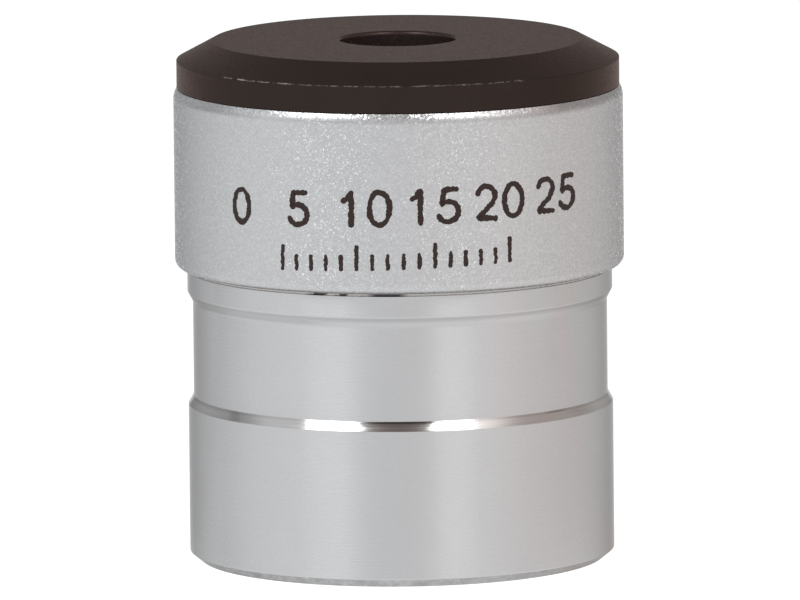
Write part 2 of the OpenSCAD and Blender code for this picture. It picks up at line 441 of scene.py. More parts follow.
def polished_chrome():
    """The mirror-bright step above the guide ring, with painted shade along its upper edge."""
    m = Nodes("polished_chrome")
    angle, height = m.angle_and_height()
    lines = m.turning_lines(12.0, 0.1, 2.0)
    shine = m.mix(lines, (0.5, 0.485, 0.48, 1), (0.68, 0.67, 0.665, 1))
    # painted shade along the step's upper edge: faint all round, strongest at the front, and in a
    # narrow strip on the right
    small = m.math("MULTIPLY", m.patch(angle, 48.0, 2.0, 5.0), 0.5)
    top_edge_painted_shade = m.math("MAXIMUM", m.patch(angle, 1.0, 8.0, 11.0), small)
    top_edge = m.remap(height, step_high - 0.2, step_high - 0.12)
    top_edge_painted_shade = m.math("MULTIPLY", m.remap(top_edge_painted_shade, 0.0, 1.0, 0.15, 0.75), top_edge)
    m.set(
        Base_Color=m.mix(top_edge_painted_shade, shine, (0.1, 0.09, 0.085, 1)),
        Metallic=1.0,
        Roughness=m.remap(lines, 0.3, 0.7, 0.09, 0.14),
        Specular_Tint=CHROME_TINT,
        Normal=m.bump(lines, 1.2e-6),
    )
    return m.material


def bevel_chrome():
    """The duller, blotchy bevel around the bottom rim."""
    m = Nodes("bevel_chrome")
    grain = m.noise(FINE_GRAIN, 3.0, 0.65)
    blotch = m.noise(1300.0, 3.0, 0.6)
    tone = m.math("ADD", m.math("MULTIPLY", grain, 0.4), m.math("MULTIPLY", blotch, 0.6))
    m.set(
        Base_Color=m.mix(m.remap(tone, 0.38, 0.62), (0.32, 0.315, 0.31, 1), (0.45, 0.45, 0.455, 1)),
        Metallic=1.0,
        Roughness=m.remap(grain, 0.3, 0.7, 0.3, 0.42),
        Specular_Tint=CHROME_TINT,
        Normal=m.bump(grain, 2.5e-6),
    )
    return m.material


def groove_dark_patches():
    """The groove under the housing, darker in blotchy patches in parts of it."""
    m = Nodes("groove_dark_patches")
    angle, height = m.angle_and_height()
    around = m.join(m.math("MULTIPLY", angle, 14.0), 0.0, m.math("MULTIPLY", height, 3.0))
    blots = m.noise(1.0, 4.0, 0.65, vector=around)
    thick = m.math("MULTIPLY", m.patch(angle, -3.5, 3.0, 6.0), m.remap(blots, 0.3, 0.42))
    thin = m.math("MULTIPLY", m.patch(angle, -18.0, 6.0, 9.0), m.remap(blots, 0.48, 0.56))
    slow = m.noise(1.0, 1.0, 0.5, vector=m.join(m.math("MULTIPLY", angle, 2.0), 7.7, 0.0))
    other = m.math("MULTIPLY", m.remap(slow, 0.6, 0.66), m.remap(blots, 0.5, 0.56))
    share = m.math("MAXIMUM", m.math("MAXIMUM", thick, thin), other)
    m.set(
        Base_Color=m.mix(share, (0.5, 0.485, 0.47, 1), (0.02, 0.011, 0.009, 1)),
        Metallic=m.remap(share, 0.0, 1.0, 0.35, 0.0),
        Roughness=0.4,
        Normal=m.bump(m.noise(4000.0, 3.0), 6e-6),
    )
    return m.material


def cap_anodised():
    """Brown-black anodising, worn through in a broken line along the edge above the rim."""
    m = Nodes("cap_brown_black")
    angle, height = m.angle_and_height()
    grain = m.noise(FINE_GRAIN, 3.0, 0.6)
    haze = m.noise(400.0, 2.0)
    body = m.mix(haze, (0.031, 0.0225, 0.0195, 1), (0.037, 0.0275, 0.024, 1))
    edge_z = m.math("ABSOLUTE", m.math("SUBTRACT", height, rim_top))
    wobble = m.math("MULTIPLY", m.math("SUBTRACT", m.noise(2600.0, 3.0), 0.5), 0.09)
    line = m.remap(m.math("ADD", edge_z, wobble), 0.02, 0.055, 1.0, 0.0)
    outer = m.math("GREATER_THAN", m.radius(), cap_r - 0.25)
    around = m.join(m.math("MULTIPLY", angle, 16.0), 0.0, m.math("MULTIPLY", height, 2.0))
    broken = m.remap(m.noise(1.0, 5.0, 0.75, vector=around), 0.46, 0.58)
    rubbed = m.math("MAXIMUM", m.patch(angle, -40.0, 10.0, 13.0), m.patch(angle, 31.0, 2.0, 4.0))
    faint = m.math("MULTIPLY", m.patch(angle, -9.0, 38.0, 43.0), 0.45)
    slow = m.noise(1.0, 1.0, 0.5, vector=m.join(m.math("MULTIPLY", angle, 1.6), 3.1, 0.0))
    rear = m.math("SUBTRACT", 1.0, m.patch(angle, 0.0, 88.0, 100.0))
    behind = m.math("MULTIPLY", m.remap(slow, 0.5, 0.62), rear)
    where = m.math("MAXIMUM", m.math("MAXIMUM", rubbed, faint), behind)
    worn = m.math("MULTIPLY", m.math("MULTIPLY", line, outer), m.math("MULTIPLY", broken, where))
    m.set(
        Base_Color=m.mix(worn, body, (0.36, 0.33, 0.31, 1)),
        Metallic=1.0,
        Roughness=m.remap(grain, 0.3, 0.7, 0.42, 0.56),
        Specular_Tint=CAP_TINT,
        Normal=m.bump(grain, 3.2e-6),
    )
    return m.material


def hole_lip():
    m = Nodes("cap_hole_lip")
    grain = m.noise(FINE_GRAIN, 3.0, 0.6)
    m.set(
        Base_Color=m.mix(grain, (0.05, 0.033, 0.03, 1), (0.06, 0.041, 0.038, 1)),
        Metallic=0.6,
        Roughness=m.remap(grain, 0.3, 0.7, 0.24, 0.34),
        Specular_Tint=(0.3, 0.29, 0.285, 1),
        Normal=m.bump(grain, 2.0e-6),
    )
    return m.material


def matt_black(name="matt_black", level=0.012):
    m = Nodes(name)
    grain = m.noise(4200.0, 3.0, 0.6)
    m.set(
        Base_Color=m.mix(grain, (level, level, level, 1), (level * 1.8, level * 1.75, level * 1.7, 1)),
        Roughness=m.remap(grain, 0.3, 0.7, 0.55, 0.75),
        Normal=m.bump(grain, 4e-6),
    )
    return m.material


def glass(name, ior, film):
    m = Nodes(name)
    faint = m.noise(300.0, 2.0)
    m.set(
        Base_Color=(0.97, 0.985, 0.975, 1),
        Roughness=m.remap(faint, 0.3, 0.7, 0.0, 0.006),
        IOR=ior,
        Transmission_Weight=1.0,
        Thin_Film_Thickness=film,
        Thin_Film_IOR=1.38,
    )
    return m.material


def spring_steel():
    m = Nodes("spring_steel")
    lines = m.noise(3000.0, 2.0)
    m.set(
        Base_Color=(0.33, 0.33, 0.35, 1),
        Metallic=1.0,
        Roughness=m.remap(lines, 0.3, 0.7, 0.25, 0.4),
        Normal=m.bump(lines, 2e-6),
    )
    return m.material


def ink():
    m = Nodes("marking_ink")
    grain = m.noise(FINE_GRAIN, 3.0)
    m.bsdf.inputs["Specular IOR Level"].default_value = 0.3
    m.set(
        Base_Color=m.mix(grain, (0.013, 0.005, 0.003, 1), (0.028, 0.0145, 0.0115, 1)),
        Roughness=m.remap(grain, 0.3, 0.7, 0.5, 0.75),
        Normal=m.bump(grain, 5e-6),
    )
    return m.material


black = matt_black()
chrome = turned_chrome()

# ---------------------------------------------------------------- housing
cap_bore = 15.0              # mean radii of the two threads
neck_bore = 14.6
waist = 13.5                 # the chamber between them
bore_end = 4.8               # length of each threaded bore
mouth_w = 0.25               # bevel at each bore's mouth
mouth_h = 0.3
edge_w = 0.25                # bevel around the housing's top
RELIEF = 0.2                 # groove where an inner thread runs out
housing_outline = [
    (cap_bore, housing_top - mouth_h),
    (cap_bore + mouth_w, housing_top, 0.05),
    (housing_r - edge_w, housing_top, 0.06),
    (housing_r, edge_bottom, 1.3),
    (housing_r, housing_bottom, 0.65),
    (neck_bore + mouth_w, housing_bottom, 0.05),
    (neck_bore, housing_bottom + mouth_h),
    thread(),
    (neck_bore, housing_bottom + bore_end - 2 * RELIEF),
    (neck_bore + RELIEF, housing_bottom + bore_end - RELIEF),
    (neck_bore + RELIEF, housing_bottom + bore_end),
    (waist, housing_bottom + bore_end, 0.1),
    (waist, housing_top - bore_end, 0.1),
    (cap_bore + RELIEF, housing_top - bore_end),
    (cap_bore + RELIEF, housing_top - bore_end + RELIEF),
    (cap_bore, housing_top - bore_end + 2 * RELIEF),
    thread(),
]


def housing_kind(r, z):
    """0 satin outside, 1 bright threads, 2 black chamber."""
    if r < waist + 0.3 and housing_bottom + bore_end < z < housing_top - bore_end:
        return 2
    if r < housing_r - 0.9 and housing_bottom < z < housing_top:
        return 1
    return 0


housing_mesh = turned_mesh("housing_sleeve", housing_outline, housing_kind)
smooth(housing_mesh)
place("housing_sleeve", housing_mesh, [satin_housing(), chrome, black],
      "housing", "housing")

# ---------------------------------------------------------------- eye cap
skirt = 14.94                # mean radius of the thread
hole = 4.3
face = 13.8                  # flat face around the hole
ceiling = cap_top - 1.7
head_bore = 8.06             # bore and outside of the boss that holds the lens cell
boss = 9.6
skirt_inner = 13.5
roof = cap_top - 2.3
boss_bottom = ceiling - 3.2
LEAD = 0.2                   # bevel where an outer thread starts
RUNOUT = 0.25                # groove between an outer thread and its shoulder
cap_outline = [
    (skirt - RUNOUT, housing_top, 0.1),
    (cap_r, housing_top, 0.12),
    (cap_r, rim_top, 0.05),
    (face, cap_top, 0.08),
    (hole, cap_top, 0.26),
    (hole, ceiling),
    (head_bore, ceiling),
    (head_bore, boss_bottom, 0.1),
    (boss, boss_bottom, 0.15),
    (boss, roof, 0.3),
    (skirt_inner, roof, 0.3),
    (skirt_inner, cap_skirt_bottom, 0.12),
    (skirt - LEAD, cap_skirt_bottom),
    (skirt, cap_skirt_bottom + LEAD),
    thread(),
    (skirt, housing_top - 2 * RUNOUT),
    (skirt - RUNOUT, housing_top - 0.35),
]


def cap_kind(r, z):
    """0 brown-black outside, 1 matt black inside, 2 lip of the eye hole."""
    below_ceiling = z < ceiling + 0.01
    hidden = z < housing_top - 0.01 or (r < boss + 0.2 and below_ceiling)
    if r < hole + 0.1 and not hidden:
        return 2
    if hidden or (hole + 0.1 < r < skirt - 0.5 and below_ceiling):
        return 1
    return 0


cap_mesh = turned_mesh("eye_cap_body", cap_outline, cap_kind)
smooth(cap_mesh)
place("eye_cap_body", cap_mesh, [cap_anodised(), black, hole_lip()], "eye_cap", "eye_cap")

# ---------------------------------------------------------------- barrel
neck = 14.54                 # mean radius of the thread
undercut = 15.45
collar_top = housing_bottom - 0.2
seat = 15.75                 # bottom of the groove under the housing
ledge = 12.2
ledge_bottom = stop_edge - 0.9
main_bore = 13.0
stop_bore = 13.25
snap_groove = 13.5
wire = 0.4                   # radius of the snap ring's wire
snap_z = stop_top + wire + 0.02
filter_mid = 14.08           # middle of the filter thread
filter_depth = 0.13
filter_end = 4.4
filter_groove = 14.2
filter_groove_top = 5.0
rib_pitch = 0.45
rib_depth = 0.12
rib_top = stop_edge - 1.4
ribs = []
rib_count = int((stop_edge - 1.6 - 5.4) / rib_pitch)
for i in range(rib_count):
    z = rib_top - i * rib_pitch
    ribs += [(main_bore, z), (main_bore + rib_depth, z - 0.5 * rib_pitch)]
barrel_outline = [
    (filter_mid + 0.2, 0.0, 0.05),
    (barrel_r - 0.8, 0.0, 0.06),
    (barrel_r, 0.65, 0.08),
    (barrel_r, step_low, 0.05),
    (undercut + 0.193, (step_low + step_high) / 2, 8.0),      # the step is slightly hollow
    (undercut, step_high, 0.05),
    (undercut, undercut_top, 0.4),
    (barrel_r, collar_bottom, 0.2),
    (barrel_r, collar_top, 0.04),
    (seat, collar_top, 0.03),
    (seat, housing_bottom),
    (neck - RUNOUT, housing_bottom, 0.1),
    (neck - RUNOUT, housing_bottom + RUNOUT),
    (neck, housing_bottom + RUNOUT + LEAD),
    thread(),
    (neck, neck_top - LEAD),
    (neck - LEAD, neck_top),
    (stop_bore + 0.15, neck_top, 0.04),
    (stop_bore, neck_top - 0.15),
    (stop_bore, snap_z + wire, 0.03),
    (snap_groove, snap_z + wire, 0.05),
    (snap_groove, snap_z - wire, 0.05),
    (stop_bore, snap_z - wire, 0.03),
    (stop_bore, stop_edge),
    (ledge, stop_edge, 0.05),
    (ledge, ledge_bottom, 0.05),
    (main_bore, ledge_bottom),
    *ribs,
    (main_bore, filter_groove_top),
    (filter_groove, filter_groove_top),
    (filter_groove, filter_end),
    (filter_mid, filter_end - 0.05),
    thread(FILTER_PITCH, filter_depth),
    (filter_mid, 0.25),
]


def barrel_kind(r, z):
    """0 turned outside and threads, 1 polished step, 2 rim bevel, 3 groove, 4 black inside."""
    if r > undercut - 0.02 and step_low + 0.02 < z < step_high - 0.02:
        return 1
    if r > filter_mid + 0.3 and z < 0.6:
        return 2
    if seat - 0.02 < r < barrel_r + 0.01 and collar_top - 0.03 < z <= housing_bottom:
        return 3
    if r < stop_bore + 0.3 and filter_groove_top - 0.01 <= z < neck_top - 0.1:
        return 4
    return 0


barrel_mesh = turned_mesh("barrel_body", barrel_outline, barrel_kind)
smooth(barrel_mesh)
place("barrel_body", barrel_mesh, [chrome, polished_chrome(), bevel_chrome(), groove_dark_patches(), black],
      "barrel", "barrel")

# ---------------------------------------------------------------- lens cell and retaining ring
head_r = 8.0
tube_r = 7.0
lip_r = 4.7
cell_bore = lens_r + 0.03
ring_bore = 5.96
ring_top = high("lens_retaining_ring").z
ring_bottom = low("lens_retaining_ring").z
slot_w = 1.2                 # spanner slots
slot_depth = 0.5
head_bottom = cell_top - 3.2
cell_outline = [
    (lip_r, cell_top, 0.06),
    (head_r - 0.15, cell_top),
    (head_r, cell_top - 0.15),
    (head_r, head_bottom, 0.12),
    (tube_r, head_bottom),
    (tube_r, cell_bottom, 0.12),
    (ring_bore + 0.1, cell_bottom),
    (ring_bore, cell_bottom + 0.1),
    thread(0.5, 0.09),
    (ring_bore, ring_top + 0.2),
    (cell_bore, ring_top + 0.25),
    (cell_bore, eye_flat + 0.02),
    (lip_r, eye_flat + 0.02, 0.05),
]
cell_mesh = turned_mesh("lens_cell_body", cell_outline)
cell_mesh = cut_slot(cell_mesh, slot_w, cell_bottom, slot_depth, 2 * tube_r + 1)
smooth(cell_mesh)
satin_black = matt_black("satin_black", 0.016)
place("lens_cell_body", cell_mesh, [satin_black], "eye_cap", "lens_cell")

retainer_r = 5.84
retainer_hole = 4.5
retainer_reach = 13.0        # a cutter longer than the ring is wide
retainer_outline = [
    (retainer_r, ring_top),
    (retainer_r, ring_bottom, 0.08),
    (retainer_hole, ring_bottom, 0.12),
    (retainer_hole, ring_top - 0.3),
    (retainer_hole + 0.2, ring_top, 0.05),
]
retainer_mesh = turned_mesh("retaining_ring", retainer_outline)
retainer_mesh = cut_slot(retainer_mesh, slot_w, ring_bottom, slot_depth, retainer_reach)
smooth(retainer_mesh)
place("retaining_ring", retainer_mesh, [satin_black], "eye_cap", "lens_retaining_ring")

# ---------------------------------------------------------------- lenses and spacer
LENS_STEPS = 24


def cap_curve(apex, radius, bulge, rim):
    """Points of a spherical face from the axis outwards. bulge is +1 if the apex is above the rim."""
    points = []
    for i in range(LENS_STEPS + 1):
        r = rim * i / LENS_STEPS
        points.append((r, apex - bulge * (radius - math.sqrt(radius * radius - r * r))))
    return points


def lens_mesh(name, top, bottom):
    """Solid lens between two curves that both run from the axis to the rim."""
    outline = top + bottom[::-1]
    verts, faces = [], []
    columns = COLUMNS // 2
    rings = []
    for r, z in outline:
        if r < 1e-9:
            rings.append([len(verts)] * columns)
            verts.append((0.0, 0.0, z * MM))
        else:
            rings.append(list(range(len(verts), len(verts) + columns)))
            for j in range(columns):
                a = 2 * math.pi * j / columns
                verts.append((r * math.cos(a) * MM, r * math.sin(a) * MM, z * MM))
    for upper, lower in zip(rings, rings[1:]):
        for j in range(columns):
            k = (j + 1) % columns
            face_ids = dict.fromkeys((upper[j], upper[k], lower[k], lower[j]))
            if len(face_ids) > 2:
                faces.append(tuple(face_ids))
    mesh = bpy.data.meshes.new(name)
    mesh.from_pydata(verts, [], faces)
    bm = bmesh.new()
    bm.from_mesh(mesh)
    bmesh.ops.recalc_face_normals(bm, faces=bm.faces)
    bm.to_mesh(mesh)
    bm.free()
    smooth(mesh, math.radians(50))
    return mesh


cement_r = 11.8
inner_r = 8.8
cement_t = 0.02
crown_top = high("eye_lens_crown").z
crown_bottom = low("eye_lens_crown").z
flint_face = crown_top + cement_t
flint = glass("flint_glass", 1.648, 390.0)
crown = glass("crown_glass", 1.517, 420.0)
eye_flint = (
    [(0.0, eye_flat), (lens_r - 0.12, eye_flat), (lens_r, eye_flat - 0.12)],
    cap_curve(flint_face, cement_r, 1, lens_r),
)
eye_crown = (
    cap_curve(crown_top, cement_r, 1, lens_r),
    cap_curve(crown_bottom, inner_r, -1, lens_r),
)


def turned_over(curves):
    flipped = [[(r, 2 * mid_z - z) for r, z in curve] for curve in curves]
    return flipped[1], flipped[0]


for name, curves, material, node, slot in (
    ("eye_flint_lens", eye_flint, flint, "eye_lens_flint", "flint_glass"),
    ("eye_crown_lens", eye_crown, crown, "eye_lens_crown", "crown_glass"),
    ("field_crown_lens", turned_over(eye_crown), crown, "field_lens_crown", "crown_glass"),
    ("field_flint_lens", turned_over(eye_flint), flint, "field_lens_flint", "flint_glass"),
):
    place(name, lens_mesh(name, *curves), [material], "lens_stack", node)

spacer_half = (high("lens_spacer").z - low("lens_spacer").z) / 2
spacer_in = lens_r - 0.5
spacer_mesh = turned_mesh("spacer_ring", [
    (spacer_in, mid_z + spacer_half), (lens_r, mid_z + spacer_half, 0.05),
    (lens_r, mid_z - spacer_half, 0.05), (spacer_in, mid_z - spacer_half)])
smooth(spacer_mesh)
place("spacer_ring", spacer_mesh, [black], "lens_stack", "lens_spacer")

# ---------------------------------------------------------------- field stop and snap ring
stop_open = 4.4
stop_web = stop_edge + 0.5
field_stop_mesh = turned_mesh("field_stop_disc", [
    (stop_open, stop_edge),
    (stop_r, stop_edge, 0.08),
    (stop_r, stop_top, 0.08),
    (stop_r - 1.2, stop_top, 0.08),
    (stop_r - 1.2, stop_web, 0.2),
    (8.0, stop_web, 0.1),
    (stop_open, stop_edge + 0.15, 0.04),
])
smooth(field_stop_mesh)
place("field_stop_disc", field_stop_mesh, [black], "field_stop", "field_stop")


def split_ring(name, radius, z, wire_r, gap, around=200, section=20):
    """A round wire bent into a ring that leaves a gap centred on +Y, with domed ends."""
    half = gap / 2
    rings = []
    dome = 5                     # extra rings at each end
    nearly_shut = 0.98
    dome_height = 0.4            # in wire radii
    for i in range(-dome, around + dome + 1):
        t = min(max(i, 0), around) / around
        angle = math.pi / 2 + half + t * (2 * math.pi - gap)
        out = (-i if i < 0 else i - around if i > around else 0) / dome * math.pi / 2
        shrink = math.cos(out * nearly_shut)
        shift = math.sin(out) * dome_height * wire_r / radius * (-1 if i < 0 else 1)
        rings.append((angle + shift, wire_r * shrink))
    bm = bmesh.new()
    loops = []
    for angle, w in rings:
        loop = []
        for k in range(section):
            s = 2 * math.pi * k / section
            r = radius + w * math.cos(s)
            loop.append(bm.verts.new((
                r * math.cos(angle) * MM, r * math.sin(angle) * MM, (z + w * math.sin(s)) * MM)))
        loops.append(loop)
    for a, b in zip(loops, loops[1:]):
        for k in range(section):
            n = (k + 1) % section
            bm.faces.new((a[k], a[n], b[n], b[k]))
    bm.faces.new(loops[0])
    bm.faces.new(loops[-1])
    bmesh.ops.recalc_face_normals(bm, faces=bm.faces)
    mesh = bpy.data.meshes.new(name)
    bm.to_mesh(mesh)
    bm.free()
    mesh.shade_smooth()
    return mesh


snap_r = snap_groove - wire - 0.02
SNAP_GAP = math.radians(24)
snap_mesh = split_ring("snap_ring", snap_r, snap_z, wire, SNAP_GAP)
place("snap_ring", snap_mesh, [spring_steel()], "barrel", "field_stop_snap_ring")

# ---------------------------------------------------------------- printed marking
random.seed(7)
INK_OUT = 0.02               # how far the ink stands out of the housing, and reaches into it
INK_IN = 0.012
RAGGED = 0.045               # unevenness of the strokes' sides
SLOPE = math.tan(math.radians(1.5))
INK_STEP = 0.09
TIP_REACH = 0.42             # a stroke's round end, in stroke widths


def arc_points(cx, cy, rx, ry, start, end):
    count = max(4, int(abs(end - start) / 12))
    return [
        (cx + rx * math.cos(math.radians(start + (end - start) * i / count)),
         cy + ry * math.sin(math.radians(start + (end - start) * i / count)))
        for i in range(count + 1)
    ]


# each figure is drawn in a box FIGURE_W wide and 1 high, as strokes (points, closed)
FIGURE_W = 0.62
two_bowl = arc_points(0.31, 0.71, 0.29, 0.29, 165, -20)
two_foot = [(0.46, 0.42), (0.2, 0.2), (0.04, 0.03), (FIGURE_W, 0.0)]
five_top = [(0.56, 0.99), (0.16, 0.99), (0.09, 0.55)]
five_bowl = arc_points(0.3, 0.31, 0.31, 0.31, 125, -160)
FIGURES = {
    "0": [(arc_points(0.31, 0.5, 0.31, 0.5, 90, 450), True)],
    "1": [([(0.36, 0.0), (0.36, 1.0)], False), ([(0.1, 0.76), (0.24, 0.84), (0.33, 0.97)], False)],
    "2": [(two_bowl + two_foot, False)],
    "5": [(five_top + five_bowl, False)],
}


def resample(points, closed, step):
    """Points evenly spaced along a polyline, about step apart."""
    pts = [Vector(p) for p in points]
    if closed:
        pts = pts[:-1] if (pts[0] - pts[-1]).length < 1e-6 else pts
        pts.append(pts[0])
    lengths = [0.0]
    for a, b in zip(pts, pts[1:]):
        lengths.append(lengths[-1] + (b - a).length)
    count = max(2, round(lengths[-1] / step))
    result = []
    k = 0
    for i in range(count + (0 if closed else 1)):
        target = lengths[-1] * i / count
        while k < len(pts) - 2 and lengths[k + 1] < target:
            k += 1
        t = (target - lengths[k]) / max(1e-9, lengths[k + 1] - lengths[k])
        result.append(pts[k].lerp(pts[k + 1], t))
    return result


def stroke(bm, points, closed, width, lift=0.0):
    """One closed slab of ink along the points, wrapped on the housing."""
    pts = resample(points, closed, INK_STEP)
    count = len(pts)
    sections = []
    drift = [0.0, 0.0]
    for i, p in enumerate(pts):
        before = pts[i - 1] if closed or i > 0 else pts[0]
        after = pts[(i + 1) % count] if closed or i < count - 1 else pts[-1]
        along = (after - before).normalized()
        side = Vector((-along.y, along.x))
        drift = [0.5 * d + random.uniform(-RAGGED, RAGGED) for d in drift]
        sections.append((p + side * (width / 2 + drift[0]), p - side * (width / 2 + drift[1])))
    if not closed:
        for end in (0, -1):
            tip = pts[end]
            inner = pts[1] if end == 0 else pts[-2]
            out = (tip - inner).normalized()
            left, right = sections[end]
            extra = []
            for k in (1, 2):
                t = math.radians(38 * k)
                reach = out * math.sin(t) * width * TIP_REACH
                extra.append((
                    tip + (left - tip) * math.cos(t) + reach,
                    tip + (right - tip) * math.cos(t) + reach))
            if end == 0:
                sections = extra[::-1] + sections
            else:
                sections = sections + extra

    def wrap(p, radius):
        a = p.x / housing_r
        return (radius * math.sin(a) * MM, -radius * math.cos(a) * MM, (p.y + SLOPE * p.x) * MM)

    rows = []
    for left, right in sections:
        middle = (left + right) / 2
        outer, inner = housing_r + INK_OUT + lift, housing_r - INK_IN
        row = [bm.verts.new(wrap(v, outer)) for v in (left, middle, right)]
        row += [bm.verts.new(wrap(v, inner)) for v in (right, middle, left)]
        rows.append(row)
    pairs = list(zip(rows, rows[1:])) + ([(rows[-1], rows[0])] if closed else [])
    for a, b in pairs:
        for k in range(6):
            n = (k + 1) % 6
            bm.faces.new((a[k], a[n], b[n], b[k]))
    if not closed:
        for row in (rows[0], rows[-1]):
            bm.faces.new((row[0], row[1], row[4], row[5]))
            bm.faces.new((row[1], row[2], row[3], row[4]))


ink_bm = bmesh.new()
FIGURE_H = 2.42
FIGURE_STROKE = 0.42
STROKE_LIFT = 0.003          # keeps crossing strokes apart
NUMBERS = ("0", "5", "10", "15", "20", "25")
NUMBER_BASE = 27.3
NUMBER_PITCH = math.radians(17.6) * housing_r
FIGURE_PITCH = 0.92 * FIGURE_H
for i, text in enumerate(NUMBERS):
    middle = (i - (len(NUMBERS) - 1) / 2) * NUMBER_PITCH
    start = middle - (len(text) - 1) / 2 * FIGURE_PITCH
    for k, figure in enumerate(text):
        left = start + k * FIGURE_PITCH - FIGURE_W / 2 * FIGURE_H
        for n, (points, closed) in enumerate(FIGURES[figure]):
            placed = [(left + x * FIGURE_H, NUMBER_BASE + y * FIGURE_H) for x, y in points]
            stroke(ink_bm, placed, closed, FIGURE_STROKE, n * STROKE_LIFT)

TICK_BASE = 24.0
TICK_COUNT = 16
TICK_FIRST = math.radians(-31) * housing_r
TICK_LAST = math.radians(29) * housing_r
TICK_STROKE = 0.3
TICK_TALL = 1.7              # every fifth one
TICK_SHORT = 1.0
for i in range(TICK_COUNT):
    u = TICK_FIRST + (TICK_LAST - TICK_FIRST) * i / (TICK_COUNT - 1)
    tall = TICK_TALL if i % 5 == 0 else TICK_SHORT
    stroke(ink_bm, [(u, TICK_BASE), (u, TICK_BASE + tall)], False, TICK_STROKE)
bmesh.ops.recalc_face_normals(ink_bm, faces=ink_bm.faces)
ink_mesh = bpy.data.meshes.new("housing_marking")
ink_bm.to_mesh(ink_mesh)
ink_bm.free()
smooth(ink_mesh, math.radians(40))
place("housing_marking", ink_mesh, [ink()], "housing", None)

# ---------------------------------------------------------------- floor, lights, camera
FLOOR_SIZE = 8.0
floor_mesh = bpy.data.meshes.new("floor")
half = FLOOR_SIZE / 2
floor_corners = [(-half, -half, 0), (half, -half, 0), (half, half, 0), (-half, half, 0)]
floor_mesh.from_pydata(floor_corners, [], [(0, 1, 2, 3)])
floor = bpy.data.objects.new("floor", floor_mesh)
bpy.context.scene.collection.objects.link(floor)
floor.parent = frame["bodies"]["barrel"]
paper = bpy.data.materials.new("white_table")
paper.use_nodes = True
paper_nodes, paper_links = paper.node_tree.nodes, paper.node_tree.links
paper_bsdf = paper_nodes["Principled BSDF"]
paper_bsdf.inputs["Base Color"].default_value = (0.1, 0.1, 0.1, 1)
paper_bsdf.inputs["Roughness"].default_value = 0.9
paper_bsdf.inputs["Specular IOR Level"].default_value = 0.1


def node_math(tree, operation, a, b=None):
    node = tree.nodes.new("ShaderNodeMath")
    node.operation = operation
    for value, socket in zip((a, b), node.inputs):
        if isinstance(value, bpy.types.NodeSocket):
            tree.links.new(value, socket)
        elif value is not None:
            socket.default_value = value
    return node.outputs[0]


def node_ramp(tree, value, a, b, c=0.0, d=1.0):
    node = tree.nodes.new("ShaderNodeMapRange")
    node.interpolation_type = "SMOOTHSTEP"
    tree.links.new(value, node.inputs[0])
    for v, socket in zip((a, b, c, d), node.inputs[1:5]):
        socket.default_value = v
    return node.outputs[0]


def node_band(tree, azimuth, centre, core, soft, inside=1.0):
    """inside within core degrees of an azimuth and 0 beyond soft degrees."""
    away = node_math(tree, "ABSOLUTE", node_math(tree, "SUBTRACT", azimuth, math.radians(centre)))
    return node_ramp(tree, away, math.radians(core), math.radians(soft), inside, 0.0)


def node_blend(tree, factor, a, b):
    node = tree.nodes.new("ShaderNodeMix")
    node.data_type = "RGBA"
    tree.links.new(factor, node.inputs[0])
    for value, socket in ((a, node.inputs[6]), (b, node.inputs[7])):
        if isinstance(value, bpy.types.NodeSocket):
            tree.links.new(value, socket)
        else:
            socket.default_value = value
    return node.outputs[2]


# the table glows a little less and warmer on the right, as the reflections in the metal show
paper_tree = paper.node_tree
paper_split = paper_nodes.new("ShaderNodeSeparateXYZ")
paper_links.new(paper_nodes.new("ShaderNodeTexCoord").outputs["Object"], paper_split.inputs[0])
px, py = paper_split.outputs[:2]
paper_azimuth = node_math(paper_tree, "ARCTAN2", px, node_math(paper_tree, "MULTIPLY", py, -1.0))


def paper_ramp(start, end, *values):
    return node_ramp(paper_tree, paper_azimuth, math.radians(start), math.radians(end), *values)


def paper_band(*values):
    return node_band(paper_tree, paper_azimuth, *values)


glow = paper_ramp(44, 108, 1.14, 0.98)
glow = node_math(paper_tree, "ADD", glow, paper_band(-160, 20, 65, -0.16))
glow = node_math(paper_tree, "ADD", glow, paper_band(-113, 2, 5, -0.08))
side = node_math(paper_tree, "MULTIPLY", paper_ramp(-30, 100), paper_ramp(130, 175, 1.0, 0.0))
pink = node_math(paper_tree, "MAXIMUM", paper_band(57, 6, 11, 0.45), paper_band(96, 3, 7))
paper_colour = node_blend(paper_tree, side, (0.985, 0.998, 1.01, 1), (1.025, 1.0, 0.985, 1))
paper_colour = node_blend(paper_tree, pink, paper_colour, (1.08, 0.99, 0.97, 1))
paper_links.new(paper_colour, paper_bsdf.inputs["Emission Color"])
paper_links.new(glow, paper_bsdf.inputs["Emission Strength"])
see_through = paper_nodes.new("ShaderNodeBsdfTransparent")
one_sided = paper_nodes.new("ShaderNodeMixShader")
paper_links.new(paper_nodes.new("ShaderNodeNewGeometry").outputs["Backfacing"], one_sided.inputs[0])
paper_links.new(paper_bsdf.outputs[0], one_sided.inputs[1])
paper_links.new(see_through.outputs[0], one_sided.inputs[2])
paper_links.new(one_sided.outputs[0], paper_nodes["Material Output"].inputs["Surface"])
floor_mesh.materials.append(paper)

TARGET = Vector((0, 0, 0.01926))        # the point that the camera and the lights face


def softbox(name, azimuth, elevation, distance, width, height, radiance, colour=(1, 1, 1)):
    """An area light that faces the eyepiece. Azimuth 0 is the camera's side, and right is positive."""
    light = bpy.data.lights.new(name, "AREA")
    light.shape = "RECTANGLE"
    light.size, light.size_y = width, height
    light.energy = radiance * math.pi * width * height
    light.color = colour
    obj = bpy.data.objects.new(name, light)
    a, e = math.radians(azimuth), math.radians(elevation)
    away = Vector((math.sin(a) * math.cos(e), -math.cos(a) * math.cos(e), math.sin(e)))
    obj.location = TARGET + away * distance
    obj.rotation_mode = "QUATERNION"
    obj.rotation_quaternion = (-away).to_track_quat("-Z", "Y")
    bpy.context.scene.collection.objects.link(obj)
    obj.visible_camera = False
    return obj


